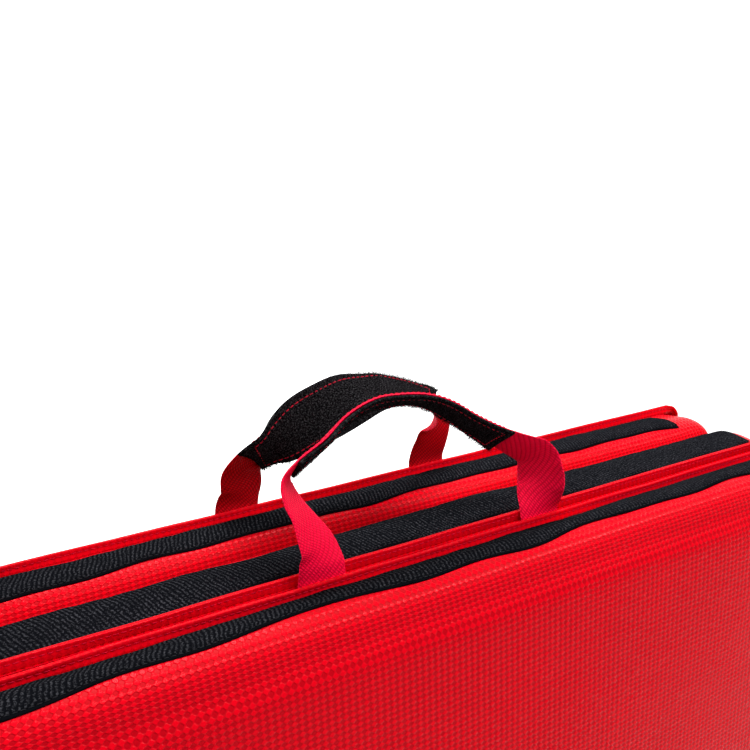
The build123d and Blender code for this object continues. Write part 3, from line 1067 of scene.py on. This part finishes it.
def add_box_stitches(name, strip):
    """A crossed box of stitches on both sewn ends, on the side away from the section."""
    ends, normals = [], []
    for x in LEGS[name]:
        centre = np.array((x, strip.pivot[1] + WEB_THICK / 2 + 0.12 * MM, TOP - 12 * MM))
        for a, b in zip(BOX_LINE, BOX_LINE[1:]):
            p = centre + np.array([a[0], 0, a[1]]) * BOX / 2
            r = centre + np.array([b[0], 0, b[1]]) * BOX / 2
            count = round(np.linalg.norm(r - p) / BOX_STITCH)
            for k in range(count):
                ends.append(np.array([p + (r - p) * k / count, p + (r - p) * (k + 0.75) / count]))
                normals.append(np.array([0, 1.0, 0]))
    boxes = capsules(f"{name}_box_stitches", ends, normals, 0.3 * MM, 0.15 * MM, THREAD)
    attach(boxes, f"{name}_section")
    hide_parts(f"{name}_end_stitches")


for name, strip in handles.items():
    add_webbing(name, strip)
    add_pad(name, strip)
    add_box_stitches(name, strip)


# ---- floor, light and camera
CAMERA_AT = (-0.309, -0.438, 0.844)
CAMERA_YAW, CAMERA_PITCH, CAMERA_ROLL = (math.radians(a) for a in (32.9, 15.1, -0.33))
FLOOR_HALF = 30.0
FLOOR_BACK = 6.0  # where the floor turns up into the back wall
FLOOR_BEND = 2.0
LIT_FROM, LIT_TO = 0.8, 1.6  # the floor glows behind the mat, from the first distance to the second
WORLD_LIGHT = 0.26


def paper():
    """White paper with a fine grain; it glows further back, so that the background is white."""
    s = Shader("studio_white", Specular_IOR_Level=0.1)
    where = s.add("ShaderNodeTexCoord", output=3)
    grain = s.noise(where, 40.0)
    material = s.finish(s.blend(grain, (0.76, 0.76, 0.76), (0.79, 0.79, 0.79)), 0.9, grain, 0.2 * MM)
    s.feed(s.surface, "Emission Color", (1, 1, 1, 1))
    split = s.tree.nodes.new("ShaderNodeSeparateXYZ")
    s.tree.links.new(where, split.inputs[0])
    far = s.ramp(split.outputs[1], LIT_FROM, LIT_TO)
    s.feed(s.surface, "Emission Strength", far)
    return material


def floor():
    """A floor that turns up into a wall, square to the camera."""
    line = [(y, 0) for y in np.linspace(-FLOOR_HALF, FLOOR_BACK, 13)]
    for angle in np.radians(np.linspace(10, 90, 9)):
        line.append((FLOOR_BACK + FLOOR_BEND * math.sin(angle), FLOOR_BEND * (1 - math.cos(angle))))
    line.append((FLOOR_BACK + FLOOR_BEND, 8))
    points = np.array([[(x, y, z - 0.2 * MM) for x in (-FLOOR_HALF, FLOOR_HALF)] for y, z in line])
    obj = shape("studio_floor", points, grid_faces(len(line), 2), paper())
    obj.data.transform(Matrix.Rotation(-CAMERA_YAW, 4, "Z"))


def lamp(name, at, target, width, height, power):
    data = bpy.data.lights.new(name, "AREA")
    data.shape = "RECTANGLE"
    data.energy, data.size, data.size_y = power, width, height
    obj = bpy.data.objects.new(name, data)
    obj.location = at
    obj.rotation_euler = (Vector(target) - Vector(at)).to_track_quat("-Z", "Y").to_euler()
    bpy.context.scene.collection.objects.link(obj)


def studio():
    """Floor, an even white world and three soft lamps."""
    floor()
    world = bpy.data.worlds.new("studio_world")
    bpy.context.scene.world = world
    world.use_nodes = True
    background = world.node_tree.nodes["Background"]
    background.inputs[0].default_value = (1, 1, 1, 1)
    background.inputs[1].default_value = WORLD_LIGHT
    lamp("key", (-1.3, -1.6, 2.2), (0, 0, 0.5), 1.4, 1.4, 15)
    lamp("overhead", (0.5, 0.9, 2.6), (0, 0, 0.6), 1.3, 1.3, 68)
    lamp("side", (1.1, -0.75, 2.1), (1.1, 0, 0.6), 2.0, 0.35, 45)


def camera():
    """Looks down at the handles from the front left."""
    level = Vector((math.cos(CAMERA_YAW), -math.sin(CAMERA_YAW), 0))
    ahead = Vector((math.sin(CAMERA_YAW), math.cos(CAMERA_YAW), 0))
    forward = ahead * math.cos(CAMERA_PITCH) - Vector((0, 0, math.sin(CAMERA_PITCH)))
    above = level.cross(forward)
    right = level * math.cos(CAMERA_ROLL) + above * math.sin(CAMERA_ROLL)
    up = right.cross(forward)
    data = bpy.data.cameras.new("camera")
    data.lens, data.sensor_width = 45.02, 36.0
    data.dof.use_dof = False
    obj = bpy.data.objects.new("camera", data)
    turn = Matrix((right, up, -forward)).transposed().to_4x4()
    obj.matrix_world = Matrix.Translation(CAMERA_AT) @ turn
    bpy.context.scene.collection.objects.link(obj)
    bpy.context.scene.camera = obj


studio()
camera()
bpy.context.scene.view_settings.view_transform = "Standard"
